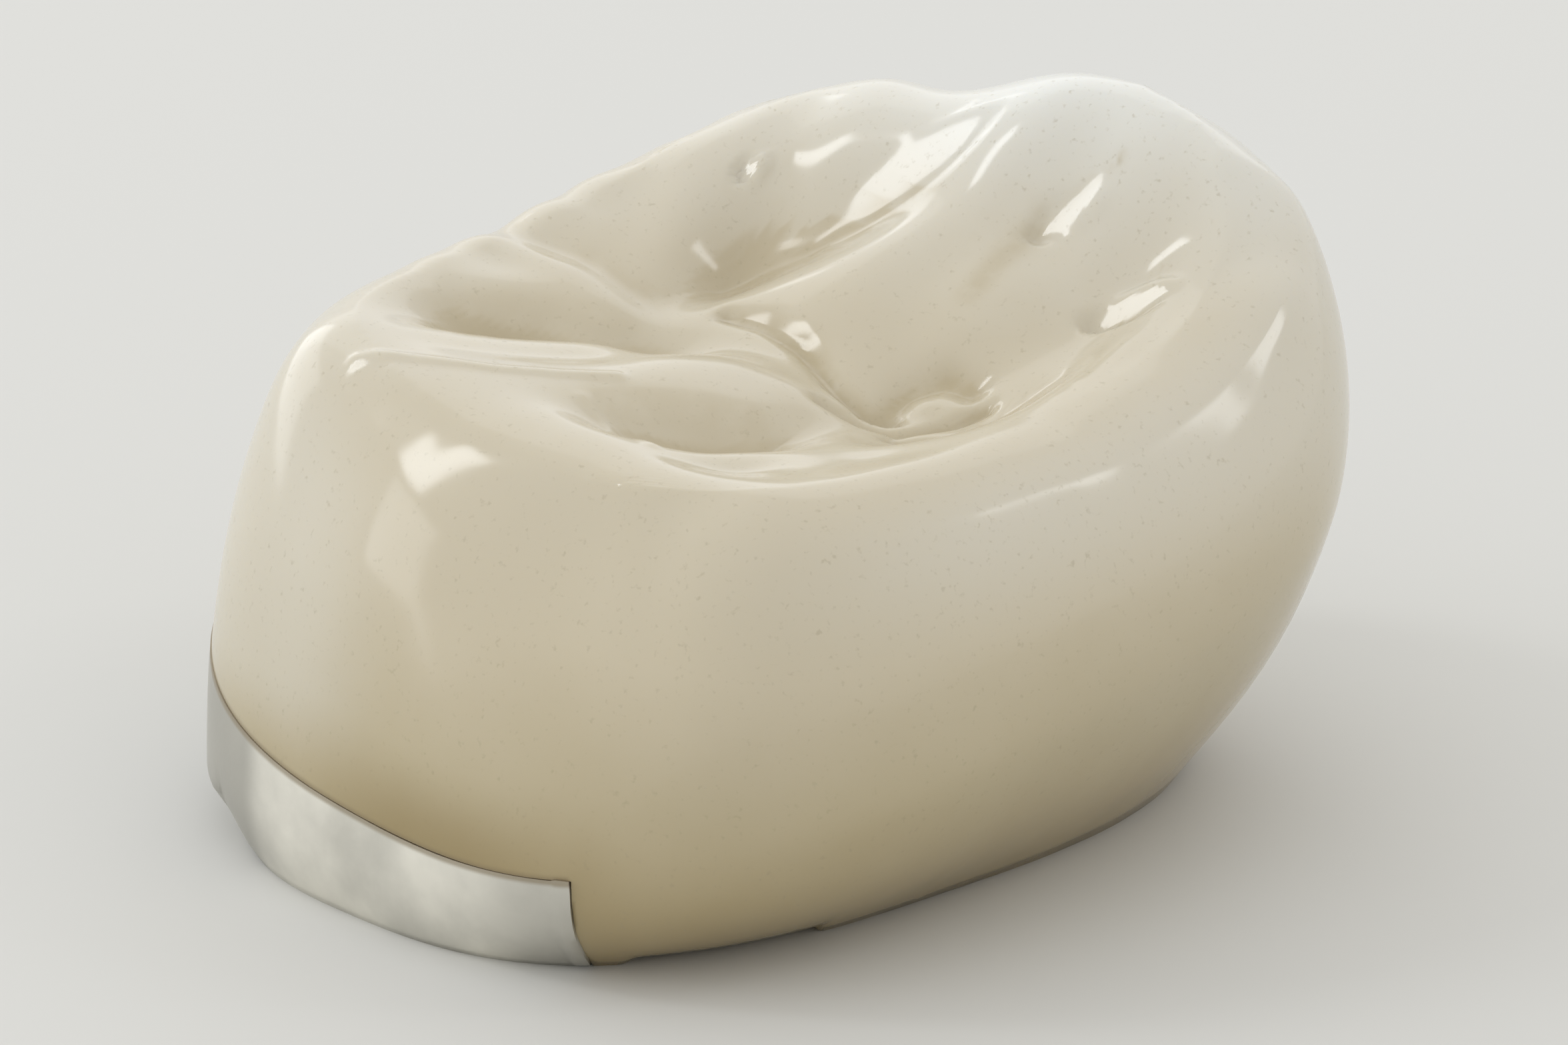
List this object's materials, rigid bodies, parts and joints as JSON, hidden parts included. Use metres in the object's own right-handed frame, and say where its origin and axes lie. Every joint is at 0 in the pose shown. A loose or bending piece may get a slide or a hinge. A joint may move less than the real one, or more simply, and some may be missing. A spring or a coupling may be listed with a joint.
{
  "type": "dental crown",
  "caption": "Upper molar crown: a glazed porcelain veneer with cusps over a thin metal coping that shows as a collar on the palatal side. Hollow, open below.",
  "frame": {"origin": "in the plane of the crown's lower edge, under the middle of its widest outline", "axes": "+X distal, +Y buccal, +Z out of the lower edge towards the biting surface"},
  "size_m": [0.0108, 0.0122, 0.0076],
  "materials": {
    "metal_coping": "cast base-metal alloy, satin, lightly mottled",
    "porcelain_veneer": "glazed dental porcelain, beige at the neck and greyish white at the cusps"
  },
  "bodies": {
    "root": {"metal_coping": "metal_coping", "porcelain_veneer": "porcelain_veneer"}
  },
  "joints": []
}
